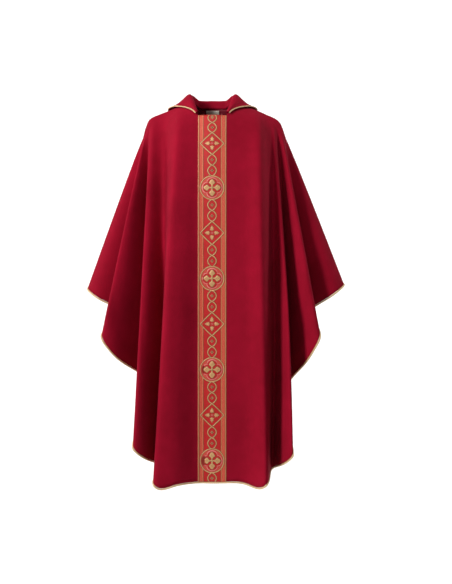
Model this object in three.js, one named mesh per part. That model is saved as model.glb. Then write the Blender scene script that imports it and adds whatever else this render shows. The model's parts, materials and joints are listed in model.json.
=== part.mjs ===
// A Gothic chasuble, hanging as it does when worn: a wide oval of wool cloth with a neck hole in
// the middle, cut as four panels, with a woven orphrey band down the front and the back, a turned-down
// collar, gold piping on every free edge, and the small pieces that a vestment maker sews inside.
//
// Millimetres, +Z up, the front faces -Y, and the wearer's left hand is on +X. The origin is the middle
// of the neck opening, at the height where the shoulder seams meet the collar.
//
// Every layer is a patch of one drape function. It takes a point of the flat cut, given as its distance
// across from the centre line and down from the neck, to its place on the hanging garment.
import * as THREE from 'three';

// ---------------------------------------------------------------- driving sizes
// The flat cut. Its free edge is a superellipse round the neck.
const cutHalfWidth = 780; // neck centre to the side, laid flat
const frontLength = 1165; // centre front, from the neck edge to the hem
const neckHalfWidth = 78; // to the neck end of a shoulder seam
const neckFrontDepth = 75;
const neckBackDepth = 26;
const shoulderSlope = THREE.MathUtils.degToRad(20);
const edgeFullness = 2.15; // 2 is an ellipse; more is squarer

// What the shoulders and chest inside it do to the cloth.
const shoulderLength = 140; // along the seam, before the cloth falls off the shoulder
const shoulderDepth = 34; // the cloth's distance in front of the seams, once it is round the shoulder
const shoulderTurn = 45; // how gently it turns there
const chestDepth = 118; // how far further forward the centre front hangs
const backDepth = 88;
const yokeLength = 150; // how gently the cloth turns from the shoulder to the hang
const drapeRadius = 30; // cloth rounds every bend over about this length

// Layers.
const clothThickness = 1.2;
const orphreyWidth = 90;
const orphreyThickness = 0.9;
const facingThickness = 0.6;
const hemFacingWidth = 20;
const neckFacingWidth = 24;
const stayTapeWidth = 14; // over the shoulder seam, half on each side of it
const pipingDiameter = 5;
const collarPipingDiameter = 3.6;
const seamGap = 0.4; // between pieces that are sewn edge to edge
const layerGap = 0.35; // between layers that are sewn face to face
const pipingGap = 1.3 * clothThickness; // between a cord of piping and the edge that it trims

// Collar.
const collarReach = 143; // neck centre to the collar's corner on the shoulder
const collarBackReach = 128; // neck centre to the collar's edge at centre back, along the cloth
const collarStand = 26; // height of the roll at the side and the back
const collarFrontStand = 7; // and at its front ends
const collarLayer = 0.7; // each of its three layers
const collarLift = 5; // the fall's edge above the shoulder cloth
const collarRollWidth = 9; // across the roll, between the stand and the fall
const collarStart = 0.08; // where its ends begin, as a share of the neck edge from the orphrey's corner

// Hanger loop and label, inside centre back.
const loopSpan = 60;
const loopDrop = 24;
const loopBelowNeck = 14;
const loopClearance = 2; // between its sewn ends and the facing behind them
const ribbonWidth = 6;
const ribbonThickness = 1;
const labelWidth = 44;
const labelHeight = 24;
const labelThickness = 0.5;
const innerClearance = 1.2; // inside layers that don't follow the same facets

// The folds that fan out from the end of each shoulder seam. Each entry is a ridge or a valley: its
// angle in the flat cut, from the seam, and the way it hangs, as its share outwards and forwards.
const frontFolds = [
  { angle: 0, out: 0.34, fore: 0 },
  { angle: 13, out: 0.12, fore: 0 },
  { angle: 26, out: 0.183, fore: 0.11 },
  { angle: 41, out: -0.005, fore: 0 },
  { angle: 56, out: 0.023, fore: 0.14 },
  { angle: 63, out: -0.05, fore: 0.045 },
  { angle: 70, out: -0.034, fore: 0.15 },
];
const backFolds = [
  { angle: 0, out: 0.34, fore: 0 },
  { angle: 14, out: 0.11, fore: 0 },
  { angle: 29, out: 0.16, fore: 0.1 },
  { angle: 43, out: -0.005, fore: 0 },
  { angle: 57, out: 0.0, fore: 0.125 },
  { angle: 64, out: -0.06, fore: 0.04 },
  { angle: 70, out: -0.05, fore: 0.13 },
];

// Facets.
const columnsPerFold = 3;
const longestMitre = 2.5; // how much further than a layer's thickness a sharp corner may reach
const ridgeStrip = THREE.MathUtils.degToRad(1); // beside the shoulder seam's ridge, where facings end
const chestColumns = 4;
const yokeRows = 3;
const bodyRows = 6;
const bendRadius = 45; // where the lines round the shoulder's end turn along the folds
const bendBelowNeck = 60;
const collarColumns = 7;
const collarRows = 8;
const tapeColumns = 6;
const pipingSides = 6;

// ---------------------------------------------------------------- the flat cut
const orphreyHalf = orphreyWidth / 2;
const cutLength = neckFrontDepth + frontLength;
const seamDirection = new THREE.Vector2(Math.cos(shoulderSlope), Math.sin(shoulderSlope));
const neckPoint = new THREE.Vector2(neckHalfWidth, 0);
const shoulderPoint = neckPoint.clone().addScaledVector(seamDirection, shoulderLength);
const wingAngle = Math.PI / 2 - shoulderSlope; // from the seam to straight down

const front = { side: -1, depth: chestDepth, neckDepth: neckFrontDepth, folds: frontFolds };
const back = { side: 1, depth: backDepth, neckDepth: neckBackDepth, folds: backFolds };
front.other = back;
back.other = front;

const seamDown = (across) => (across - neckHalfWidth) * Math.tan(shoulderSlope);
const insideCut = (p) =>
  (p.x / cutHalfWidth) ** edgeFullness + (p.y / cutLength) ** edgeFullness < 1;

// A point of the neck edge, from the orphrey's corner (0) straight to the shoulder seam (1).
const besideSeam = new THREE.Vector2(-seamDirection.y, seamDirection.x).multiplyScalar(seamGap / 2);
const neckEdge = (face, rise) =>
  new THREE.Vector2(orphreyHalf, face.neckDepth).lerp(neckPoint.clone().add(besideSeam), rise);

// The point where a ray from a place inside the cut reaches its edge.
function edgeFrom(start, direction) {
  let near = 0;
  let far = 2 * (cutHalfWidth + cutLength);
  for (let i = 0; i < 50; i += 1) {
    const middle = (near + far) / 2;
    if (insideCut(start.clone().addScaledVector(direction, middle))) near = middle;
    else far = middle;
  }
  return start.clone().addScaledVector(direction, near);
}

// ---------------------------------------------------------------- the drape
const smooth = (t) => {
  const c = THREE.MathUtils.clamp(t, 0, 1);
  return c * c * (3 - 2 * c);
};

// The unit direction that the cloth hangs in at an angle round the shoulder point.
function foldDirection(face, angle) {
  const degrees = THREE.MathUtils.radToDeg(angle);
  const scale = wingAngle / THREE.MathUtils.degToRad(face.folds.at(-1).angle);
  const last = face.folds.length - 1;
  let i = face.folds.findIndex((fold, k) => k === last || face.folds[k + 1].angle * scale >= degrees);
  i = Math.min(i, last - 1);
  const from = face.folds[i];
  const to = face.folds[i + 1];
  const t = (1 - Math.cos(Math.PI * THREE.MathUtils.clamp(
    (degrees / scale - from.angle) / (to.angle - from.angle), 0, 1))) / 2;
  const out = THREE.MathUtils.lerp(from.out, to.out, t);
  const fore = THREE.MathUtils.lerp(from.fore, to.fore, t);
  return { out, fore, down: Math.sqrt(1 - out * out - fore * fore) };
}

// The place of a flat point on the hanging cloth, with every bend still sharp.
function hang(face, across, down) {
  if (across < 0) {
    const mirrored = hang(face, -across, down);
    mirrored.x *= -1;
    return mirrored;
  }
  const p = new THREE.Vector2(across, down);
  const fromNeck = p.clone().sub(neckPoint);
  const belowSeam = seamDirection.x * fromNeck.y - seamDirection.y * fromNeck.x;
  if (belowSeam < 0) {
    const over = new THREE.Vector2(-seamDirection.y, seamDirection.x);
    const folded = p.addScaledVector(over, -2 * belowSeam);
    return hang(face.other, Math.max(folded.x, 0), folded.y);
  }
  const roundShoulder = shoulderDepth * (1 - Math.exp(-belowSeam / shoulderTurn));
  if (across > shoulderPoint.x) {
    const fromShoulder = p.clone().sub(shoulderPoint);
    const reach = fromShoulder.length();
    const way = foldDirection(face, fromShoulder.angle() - shoulderSlope);
    return new THREE.Vector3(
      shoulderPoint.x + reach * way.out,
      face.side * (roundShoulder + reach * way.fore),
      -shoulderPoint.y - reach * way.down,
    );
  }
  const fall = down - seamDown(across);
  const way = foldDirection(face, wingAngle);
  const share = smooth(across / shoulderPoint.x);
  const turned = 1 - Math.exp(-fall / yokeLength);
  const forward = face.depth * turned;
  const takenUp = (face.depth ** 2 / yokeLength / 4) * (1 - Math.exp((-2 * fall) / yokeLength));
  return new THREE.Vector3(
    across + share * fall * way.out,
    face.side * (roundShoulder + THREE.MathUtils.lerp(forward, fall * way.fore, share)),
    -seamDown(across) - fall * THREE.MathUtils.lerp(1, way.down, share) + (1 - share) * takenUp,
  );
}

// The same, rounded: the mean over a small circle of the flat cloth.
function drape(face, across, down) {
  const sum = new THREE.Vector3();
  const samples = 12;
  for (let i = 0; i < samples; i += 1) {
    const turn = (2 * Math.PI * (i + 0.5)) / samples;
    sum.add(hang(face, across + drapeRadius * Math.cos(turn), down + drapeRadius * Math.sin(turn)));
  }
  return sum.divideScalar(samples);
}

// Keeps a point of the front in front of the shoulder seams, and a point of the back behind them.
function onItsSide(face, point) {
  point.y = face.side * Math.max(face.side * point.y, seamGap / 2);
  return point;
}

// Outward directions at the corners of the facets, where they have been worked out.
const atCorners = new Map();
const cornerKey = (face, x, y) => `${face.side} ${Math.abs(x).toFixed(5)} ${y.toFixed(5)}`;

// A point that stands off the cloth by a distance, outwards if it is positive.
function standOff(face, across, down, distance) {
  const known = atCorners.get(cornerKey(face, across, down));
  if (known) {
    const outward = known.clone();
    outward.x *= Math.sign(across);
    return onItsSide(face, drape(face, across, down).addScaledVector(outward, distance));
  }
  const step = 2;
  const alongAcross = drape(face, across + step, down).sub(drape(face, across - step, down));
  const alongDown = drape(face, across, down + step).sub(drape(face, across, down - step));
  const outward = alongDown.cross(alongAcross).normalize().multiplyScalar(-face.side);
  return onItsSide(face, drape(face, across, down).addScaledVector(outward, distance));
}

// ---------------------------------------------------------------- closed solids
// Joins rings of points into one closed body. A ring is an even number of points that goes out along
// one face and back along the other, so that each end closes like a zip. Every pair of rings says
// whether it leads away from the centre line, so that all layers split their quads the same way.
function solidFrom(rings, leadsOut = () => true) {
  const size = rings[0].length;
  const positions = rings.flat().flatMap((p) => [p.x, p.y, p.z]);
  const faces = [];
  const quad = (a, b, c, d) => faces.push(a, b, c, a, c, d);
  for (let r = 0; r + 1 < rings.length; r += 1)
    for (let k = 0; k < size; k += 1) {
      const next = (k + 1) % size;
      const corners = [r * size + k, (r + 1) * size + k, (r + 1) * size + next, r * size + next];
      if (leadsOut(r) !== k < size / 2) corners.push(corners.shift());
      quad(...corners);
    }
  const lastRing = (rings.length - 1) * size;
  for (let k = 0; k + 1 < size / 2; k += 1) {
    const opposite = size - 1 - k;
    quad(k, k + 1, opposite - 1, opposite);
    quad(lastRing + opposite, lastRing + opposite - 1, lastRing + k + 1, lastRing + k);
  }
  const geometry = new THREE.BufferGeometry();
  geometry.setAttribute('position', new THREE.Float32BufferAttribute(positions, 3));
  geometry.setIndex(facingOut(positions, faces));
  geometry.computeVertexNormals();
  return geometry;
}

// The same faces, turned round if they enclose a negative volume.
function facingOut(positions, faces) {
  const at = (i) => new THREE.Vector3().fromArray(positions, 3 * i);
  let volume = 0;
  for (let i = 0; i < faces.length; i += 3)
    volume += at(faces[i]).dot(at(faces[i + 1]).cross(at(faces[i + 2])));
  return volume < 0 ? faces.toReversed() : faces;
}

// A layer of cloth between two stand-off distances, over a grid of flat points.
function layer(face, grid, inner, outer) {
  return solidFrom(grid.map((column) => [
    ...column.map((p) => standOff(face, p.x, p.y, outer)),
    ...column.toReversed().map((p) => standOff(face, p.x, p.y, inner)),
  ]), (r) => Math.abs(grid[r].at(-1).x) < Math.abs(grid[r + 1].at(-1).x));
}

// ---------------------------------------------------------------- grids on the flat cut
// The lines that run from the neck to the free edge on one half of a face, from the centre out. Each
// has a bend: beyond it, a line either hangs straight down or follows a fold from the shoulder.
function halfColumns(face) {
  const straightDown = new THREE.Vector2(0, 1);
  const hanging = (across) => {
    const share = across / shoulderPoint.x;
    const depth = THREE.MathUtils.lerp(face.neckDepth + bendBelowNeck, shoulderPoint.y + bendRadius, share);
    const bend = new THREE.Vector2(across, depth);
    return { bend, edge: edgeFrom(bend, straightDown) };
  };
  const onFold = (angle) => {
    const direction = seamDirection.clone().rotateAround(new THREE.Vector2(), angle);
    return {
      bend: shoulderPoint.clone().addScaledVector(direction, bendRadius),
      edge: edgeFrom(shoulderPoint, direction),
    };
  };
  const lines = [seamGap / 2, orphreyHalf / 2, orphreyHalf].map(hanging);
  const straight = lines.length - 1; // these start on the level part of the neck edge
  for (let i = 1; i < chestColumns + 1; i += 1)
    lines.push(hanging(THREE.MathUtils.lerp(orphreyHalf, shoulderPoint.x, i / (chestColumns + 1))));
  const scale = wingAngle / face.folds.at(-1).angle;
  for (let i = face.folds.length - 1; i > 0; i -= 1)
    for (let k = 0; k < columnsPerFold; k += 1)
      lines.push(onFold(
        scale * THREE.MathUtils.lerp(face.folds[i].angle, face.folds[i - 1].angle, k / columnsPerFold)));
  lines.push(onFold(ridgeStrip));
  const seam = onFold(0);
  lines.push({ bend: seam.bend.add(besideSeam), edge: seam.edge.add(besideSeam) });
  return lines.map(({ bend, edge }, i) => {
    const rise = Math.max(0, i - straight) / (lines.length - 1 - straight);
    const neck = i < straight ? new THREE.Vector2(edge.x, face.neckDepth) : neckEdge(face, rise);
    return { neck, bend, edge };
  });
}

// Points down one line, with a row where each facing ends.
function columnPoints({ neck, bend, edge }, rows = 'all') {
  const between = (from, to, share) => from.clone().lerp(to, share);
  const facing = between(neck, bend, neckFacingWidth / neck.distanceTo(bend));
  const hem = between(edge, bend, hemFacingWidth / edge.distanceTo(bend));
  if (rows === 'neck') return [neck, facing];
  if (rows === 'hem') return [hem, edge];
  const yoke = Array.from({ length: yokeRows }, (_, i) => between(facing, bend, (i + 1) / yokeRows));
  const body = Array.from({ length: bodyRows }, (_, i) => between(bend, hem, (i + 1) / bodyRows));
  return [neck, facing, ...yoke, ...body, edge];
}

const mirrored = (column) => column.map((p) => new THREE.Vector2(-p.x, p.y));

// At a corner of the facets the way outwards halves the angle between them, and reaches further where
// the fold is sharp, so that no wall of a layer thins to nothing or turns inside out.
function workOutCorners(face) {
  const grid = halfColumns(face).map((column) => columnPoints(column));
  const places = grid.map((column) => column.map((p) => drape(face, p.x, p.y)));
  const rows = places[0].length;
  const last = places.length - 1;
  const chord = (from, to) => to.clone().sub(from).normalize();
  for (let c = 0; c <= last; c += 1)
    for (let r = 0; r < rows; r += 1) {
      const here = places[c][r];
      const after = c < last ? chord(here, places[c + 1][r])
        : chord(places[c - 1][r], here).multiply(new THREE.Vector3(-1, 1, -1));
      const before = c > 0 ? chord(places[c - 1][r], here)
        : chord(here, places[1][r]).multiply(new THREE.Vector3(1, -1, -1));
      const down = new THREE.Vector3();
      if (r < rows - 1) down.add(chord(here, places[c][r + 1]));
      if (r > 0) down.add(chord(places[c][r - 1], here));
      const [wayBefore, wayAfter] = [before, after].map((along) =>
        down.clone().cross(along).normalize().multiplyScalar(-face.side));
      const outward = wayBefore.clone().add(wayAfter).normalize();
      outward.multiplyScalar(Math.min(1 / Math.max(outward.dot(wayAfter), 0.01), longestMitre));
      atCorners.set(cornerKey(face, grid[c][r].x, grid[c][r].y), outward);
    }
}

// Both halves of a face, from the wearer's right to the left, with one column on the centre line.
function wholeFace(face, rows) {
  const half = halfColumns(face).map((column) => columnPoints(column, rows));
  const centre = half[0].map((p) => new THREE.Vector2(0, p.y));
  const outwards = half.slice(1);
  return [...outwards.toReversed().map(mirrored), centre, ...outwards];
}

// ---------------------------------------------------------------- the pieces
const cloth = new THREE.MeshStandardMaterial({ color: 0x8e1230, roughness: 0.85 });
const brocade = new THREE.MeshStandardMaterial({ color: 0xc02a20, roughness: 0.6 });
const gold = new THREE.MeshStandardMaterial({ color: 0xd9b36a, roughness: 0.4, metalness: 0.5 });
const tape = new THREE.MeshStandardMaterial({ color: 0x7c1029, roughness: 0.7 });
const canvas = new THREE.MeshStandardMaterial({ color: 0xe6e0d2, roughness: 0.95 });
const ribbon = new THREE.MeshStandardMaterial({ color: 0xf1ede2, roughness: 0.6 });

const chasuble = new THREE.Group();

function addPiece(name, geometry, material) {
  const mesh = new THREE.Mesh(geometry, material);
  mesh.name = name;
  chasuble.add(mesh);
  return mesh;
}

// Four panels: each face has a seam down its centre, under the orphrey, because the cut is wider than
// a bolt of cloth. A shoulder seam joins front to back.
function addPanels(face, name) {
  const half = halfColumns(face).map((column) => columnPoints(column));
  addPiece(`${name}_left_panel`, layer(face, half, 0, clothThickness), cloth);
  addPiece(`${name}_right_panel`, layer(face, half.map(mirrored), 0, clothThickness), cloth);
}

// The woven band down the centre, sewn over the seam from the neck to the hem.
function addOrphrey(face, name) {
  const columns = wholeFace(face).filter((column) => Math.abs(column[0].x) <= orphreyHalf
    && Math.abs(column.at(-1).x) <= orphreyHalf + seamGap);
  const inner = clothThickness + layerGap;
  addPiece(`${name}_orphrey`, layer(face, columns, inner, inner + orphreyThickness), brocade);
}

// Strips inside the hem and inside the neck edge, which cover the raw cloth.
function addFacings(face, name) {
  const inner = -layerGap - facingThickness;
  addPiece(`${name}_hem_facing`, layer(face, wholeFace(face, 'hem').slice(1, -1), inner, -layerGap), tape);
  const neckHalf = wholeFace(face, 'neck');
  addPiece(`${name}_neck_facing`, layer(face, neckHalf, inner, -layerGap), tape);
}

// A cord along a line: rings round each of its points, in the plane of two directions there.
function cordAlong(stations, diameter) {
  return solidFrom(stations.map(({ face, centre, outward, away }) =>
    Array.from({ length: pipingSides }, (_, k) => {
      const turn = (2 * Math.PI * (k + 0.5)) / pipingSides;
      const onRing = centre.clone()
        .addScaledVector(outward, (diameter / 2) * Math.cos(turn))
        .addScaledVector(away, (diameter / 2) * Math.sin(turn));
      return face ? onItsSide(face, onRing) : onRing;
    })), (r) => r + 1 > stations.length / 2);
}

// Gold piping along the whole free edge of a face, just past the cloth.
function addHemPiping(face, name) {
  const middle = clothThickness / 2;
  const hem = wholeFace(face, 'hem').map((column) => column[1]);
  const onEdge = hem.map((p) => standOff(face, p.x, p.y, middle));
  const stations = onEdge.map((point, i) => {
    const along = onEdge[Math.min(i + 1, hem.length - 1)].clone().sub(onEdge[Math.max(i - 1, 0)]);
    const outward = standOff(face, hem[i].x, hem[i].y, middle + 1).sub(point).normalize();
    const away = along.cross(outward).normalize().multiplyScalar(-face.side);
    const centre = point.clone().addScaledVector(away, pipingDiameter / 2 + pipingGap);
    return { face, centre, outward, away };
  });
  addPiece(`${name}_hem_piping`, cordAlong(stations, pipingDiameter), gold);
}

// A stay tape inside each shoulder seam, folded over its ridge, keeps the seam from stretching.
function addStayTape(name, mirror) {
  const start = neckFacingWidth + stayTapeWidth / 2;
  const end = shoulderLength - 1.5 * drapeRadius;
  const over = new THREE.Vector2(-seamDirection.y, seamDirection.x).multiplyScalar(stayTapeWidth / 2);
  const ring = (distance) => {
    const onSeam = neckPoint.clone().addScaledVector(seamDirection, distance);
    const beside = onSeam.clone().add(over);
    const section = (standing) => {
      const ridge = standOff(front, onSeam.x, onSeam.y, standing).setY(0);
      const [before, behind] = [front, back].map((face) => standOff(face, beside.x, beside.y, standing));
      return [before, ridge, behind];
    };
    return [...section(-innerClearance), ...section(-innerClearance - facingThickness).toReversed()];
  };
  const rings = Array.from({ length: tapeColumns + 1 }, (_, i) =>
    ring(THREE.MathUtils.lerp(start, end, i / tapeColumns)));
  if (mirror) rings.flat().forEach((p) => { p.x *= -1; });
  addPiece(name, solidFrom(rings), tape);
}

for (const [face, name] of [[front, 'front'], [back, 'back']]) {
  workOutCorners(face);
  addPanels(face, name);
  addOrphrey(face, name);
  addFacings(face, name);
  addHemPiping(face, name);
}
addStayTape('left_shoulder_tape', false);
addStayTape('right_shoulder_tape', true);

// ---------------------------------------------------------------- the collar
// The places round the neck where the collar's section is drawn, from one front end, round the back,
// to the other. Each holds where the collar is sewn on, where its edge lies, and how high it stands.
function collarStations() {
  const shoulderCorner = new THREE.Vector2(collarReach, seamDown(collarReach));
  const frontEdge = new THREE.QuadraticBezierCurve(
    neckEdge(front, collarStart).add(new THREE.Vector2(3, 0)),
    neckEdge(front, 0.6).add(new THREE.Vector2(2, 8)),
    shoulderCorner,
  );
  const half = [];
  for (let i = 0; i <= collarColumns; i += 1) {
    const share = i / collarColumns;
    half.push({
      face: front,
      neck: neckEdge(front, THREE.MathUtils.lerp(collarStart, 1, share)),
      edge: frontEdge.getPoint(share),
      stand: THREE.MathUtils.lerp(collarFrontStand, collarStand, smooth(share)),
    });
  }
  for (let i = 1; i <= collarColumns; i += 1) {
    const turn = (Math.PI / 2) * (i / collarColumns);
    const past = Math.max(0, i - collarColumns / 2) / (collarColumns / 2);
    half.push({
      face: back,
      neck: i < collarColumns / 2
        ? neckEdge(back, 1 - i / (collarColumns / 2))
        : new THREE.Vector2(orphreyHalf * (1 - past), back.neckDepth),
      edge: new THREE.Vector2(
        collarReach * Math.cos(turn),
        THREE.MathUtils.lerp(shoulderCorner.y, collarBackReach, Math.sin(turn)),
      ),
      stand: collarStand,
    });
  }
  const flip = ({ face, neck, edge, stand }) => ({
    face, stand, neck: new THREE.Vector2(-neck.x, neck.y), edge: new THREE.Vector2(-edge.x, edge.y),
  });
  return [...half, ...half.slice(0, -1).toReversed().map(flip)];
}

// The collar's section at one station: up from the neck seam, over the roll and down the fall.
function collarSection({ face, neck, edge, stand }) {
  const up = new THREE.Vector3(0, 0, 1);
  const seam = drape(face, neck.x, neck.y);
  const towardsNeck = new THREE.Vector3(-seam.x, -seam.y, 0).normalize();
  const foot = seam.clone().addScaledVector(towardsNeck, clothThickness + innerClearance);
  foot.z += innerClearance;
  const fallAt = (share, lift) => {
    const p = neck.clone().lerp(edge, share);
    return standOff(face, p.x, p.y, clothThickness + lift);
  };
  const top = foot.clone().addScaledVector(up, stand);
  const shoulderOfRoll = top.clone().addScaledVector(towardsNeck, -collarRollWidth * 0.75);
  const lift = collarLift + collarLayer * 3;
  return new THREE.CatmullRomCurve3([
    foot,
    foot.clone().addScaledVector(up, stand * 0.55),
    top,
    shoulderOfRoll,
    fallAt(0.3, lift + stand * 0.34),
    fallAt(0.65, lift + stand * 0.06),
    fallAt(1, lift),
  ], false, 'centripetal').getSpacedPoints(collarRows);
}

const collarMesh = collarStations().map(collarSection);

// The collar's surface normal at a station and a row, on the side that shows.
function collarNormal(station, row) {
  const last = collarMesh.length - 1;
  const around = collarMesh[Math.min(station + 1, last)][row].clone()
    .sub(collarMesh[Math.max(station - 1, 0)][row]);
  const down = collarMesh[station][Math.min(row + 1, collarRows)].clone()
    .sub(collarMesh[station][Math.max(row - 1, 0)]);
  return down.cross(around).normalize();
}

function collarPoint(station, row, distance) {
  return collarMesh[station][row].clone().addScaledVector(collarNormal(station, row), distance);
}

// Three layers: the under collar, the canvas that stiffens it and the upper collar.
function addCollarLayer(name, inner, outer, material) {
  const rows = Array.from({ length: collarRows + 1 }, (_, row) => row);
  addPiece(name, solidFrom(collarMesh.map((_, station) => [
    ...rows.map((row) => collarPoint(station, row, outer)),
    ...rows.toReversed().map((row) => collarPoint(station, row, inner)),
  ])), material);
}
const collarPitch = collarLayer + layerGap;
addCollarLayer('under_collar', -collarPitch, -layerGap, cloth);
addCollarLayer('collar_interlining', 0, collarLayer, canvas);
addCollarLayer('upper_collar', collarPitch, collarPitch + collarLayer, cloth);

// Fine gold piping round the collar's edge.
const collarMiddle = collarLayer / 2;
addPiece('collar_piping', cordAlong(collarMesh.map((_, station) => {
  const outward = collarNormal(station, collarRows);
  const onEdge = collarPoint(station, collarRows, collarMiddle);
  const away = onEdge.clone().sub(collarPoint(station, collarRows - 1, collarMiddle)).normalize();
  away.addScaledVector(outward, -away.dot(outward)).normalize();
  return { centre: onEdge.addScaledVector(away, collarPipingDiameter / 2 + pipingGap), outward, away };
}), collarPipingDiameter), gold);

// ---------------------------------------------------------------- inside centre back
// A blank woven label on the neck facing.
const labelTop = neckBackDepth + 3;
const labelOuter = -layerGap - facingThickness - innerClearance;
const labelColumns = [-0.5, 0, 0.5].map((share) =>
  [0, 1].map((row) => new THREE.Vector2(share * labelWidth, labelTop + row * labelHeight)));
addPiece('neck_label', layer(back, labelColumns, labelOuter - labelThickness, labelOuter), ribbon);

// A ribbon loop to hang the vestment by. Its two ends are sewn to the facing, and it swings from them.
const loopEnd = drape(back, (loopSpan + ribbonWidth) / 2, neckBackDepth + loopBelowNeck);
const loopStandsOff = layerGap + facingThickness + loopClearance + ribbonThickness / 2;
const loopPivot = new THREE.Vector3(0, loopEnd.y - loopStandsOff, loopEnd.z);
const loopLine = new THREE.CatmullRomCurve3(
  [[-0.5, 0], [-0.47, -0.45], [-0.3, -0.86], [0, -1], [0.3, -0.86], [0.47, -0.45], [0.5, 0]].map(
    ([across, drop]) => new THREE.Vector3(across * loopSpan, 0, drop * loopDrop)),
);
const ribbonSection = new THREE.Shape([
  new THREE.Vector2(-ribbonThickness / 2, -ribbonWidth / 2),
  new THREE.Vector2(ribbonThickness / 2, -ribbonWidth / 2),
  new THREE.Vector2(ribbonThickness / 2, ribbonWidth / 2),
  new THREE.Vector2(-ribbonThickness / 2, ribbonWidth / 2),
]);
const hangerLoop = addPiece('hanger_loop', new THREE.ExtrudeGeometry(
  ribbonSection, { steps: 16, extrudePath: loopLine, bevelEnabled: false }), ribbon);
hangerLoop.position.copy(loopPivot);

export default chasuble;
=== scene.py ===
# %% [markdown]
# # A hanging chasuble
# This lesson builds a Gothic chasuble in burgundy wool: a very wide oval of cloth that hangs in folds
# from the shoulders, with a woven band down the front and back, a turned-down collar and gold piping.
# The CAD model fixes its size and holds it still. Blender adds the cloth's real folds and finishes.

# %% Load the frame
import json
import math

import bmesh
import bpy
import numpy as np
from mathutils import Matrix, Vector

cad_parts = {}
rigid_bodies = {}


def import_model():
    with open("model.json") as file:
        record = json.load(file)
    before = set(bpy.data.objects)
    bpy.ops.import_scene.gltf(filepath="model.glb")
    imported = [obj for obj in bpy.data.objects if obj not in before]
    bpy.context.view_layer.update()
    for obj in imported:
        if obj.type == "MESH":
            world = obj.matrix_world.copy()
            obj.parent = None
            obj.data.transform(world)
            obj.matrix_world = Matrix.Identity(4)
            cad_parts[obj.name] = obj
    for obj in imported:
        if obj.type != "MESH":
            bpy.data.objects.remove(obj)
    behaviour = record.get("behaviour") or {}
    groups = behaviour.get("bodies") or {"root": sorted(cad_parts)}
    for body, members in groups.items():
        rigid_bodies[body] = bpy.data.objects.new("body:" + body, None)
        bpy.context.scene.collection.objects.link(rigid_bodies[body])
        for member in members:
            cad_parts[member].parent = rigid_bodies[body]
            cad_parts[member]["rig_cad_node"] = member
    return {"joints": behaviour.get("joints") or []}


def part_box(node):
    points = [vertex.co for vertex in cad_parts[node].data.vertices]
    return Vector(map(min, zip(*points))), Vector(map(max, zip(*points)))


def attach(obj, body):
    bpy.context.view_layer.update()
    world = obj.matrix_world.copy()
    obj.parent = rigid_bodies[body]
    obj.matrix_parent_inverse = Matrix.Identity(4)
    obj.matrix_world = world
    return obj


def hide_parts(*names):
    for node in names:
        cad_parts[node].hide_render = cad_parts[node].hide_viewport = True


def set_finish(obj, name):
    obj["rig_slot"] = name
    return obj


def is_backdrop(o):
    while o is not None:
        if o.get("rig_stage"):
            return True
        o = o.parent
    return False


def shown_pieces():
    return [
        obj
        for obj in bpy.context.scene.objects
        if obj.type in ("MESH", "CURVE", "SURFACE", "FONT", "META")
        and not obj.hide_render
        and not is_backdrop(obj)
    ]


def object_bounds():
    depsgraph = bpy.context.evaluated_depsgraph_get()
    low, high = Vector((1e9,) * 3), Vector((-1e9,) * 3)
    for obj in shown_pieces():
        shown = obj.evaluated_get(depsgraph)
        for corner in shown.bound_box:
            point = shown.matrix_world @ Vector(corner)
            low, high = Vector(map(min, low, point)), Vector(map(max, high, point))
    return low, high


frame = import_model()
cad_low, cad_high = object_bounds()
scene = bpy.context.scene
print("CAD box:", [round(x, 3) for x in cad_low], [round(x, 3) for x in cad_high])

# %% [markdown]
# A few short helpers are used all the way through: lengths along a line, directions of length one,
# values between known ones, a piece's place on the flat cut, and what the frame must know of a piece.

# %% Short helpers


def run_of(points):
    """Distance along a line, at each of its points."""
    return np.concatenate([[0], np.cumsum(np.linalg.norm(np.diff(points, axis=0), axis=1))])


def unit(ways):
    """The same directions with a length of one."""
    return ways / np.linalg.norm(ways, axis=-1)[..., None]


def read_between(wanted, known, values):
    """Rows of three values at the wanted places, between the known ones."""
    return np.stack([np.interp(wanted, known, values[:, i]) for i in range(3)], 1)


def lay_flat(made, coords):
    """Keeps each vertex's flat coordinates as the texture coordinates, so weaves follow the cloth."""
    uv = made.data.uv_layers.new(name="cut")
    corners = np.zeros(len(made.data.loops), int)
    made.data.loops.foreach_get("vertex_index", corners)
    uv.data.foreach_set("uv", coords[corners].ravel())


def join(piece, slot, node=None, body="vestment"):
    """Hides the CAD node that a piece stands for, and gives the piece its finish and the body it moves with.
    """
    if node:
        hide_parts(node)
    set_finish(piece, slot)
    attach(piece, body)
    return piece


print("helpers ready")

# %% [markdown]
# ## Camera and studio
# A garment is seen best from some way off with a longish lens, level with its middle, so that the
# shoulders and the hem keep their true proportions. The camera looks straight along +Y.

# %% The camera
CAMERA_AWAY = 3.8  # metres in front of the neck
camera_data = bpy.data.cameras.new("camera")
camera_data.sensor_fit = "VERTICAL"
camera_data.sensor_height = 24
camera_data.lens = 47.6
camera = bpy.data.objects.new("camera", camera_data)
camera.location = (0.044, -CAMERA_AWAY, -0.625)
camera.rotation_euler = (math.radians(90), 0, 0)
scene.collection.objects.link(camera)
scene.camera = camera
scene.view_settings.view_transform = "Standard"
print("camera at", tuple(round(x, 3) for x in camera.location))

# %% [markdown]
# The studio is one white sheet that runs from the floor up behind the garment in a smooth curve, so
# no horizon shows. A profile of points is swept sideways to make it.

# %% The white sheet
FLOOR = cad_low.z - 1.1  # far enough down that no shadow shows behind the hem


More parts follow.
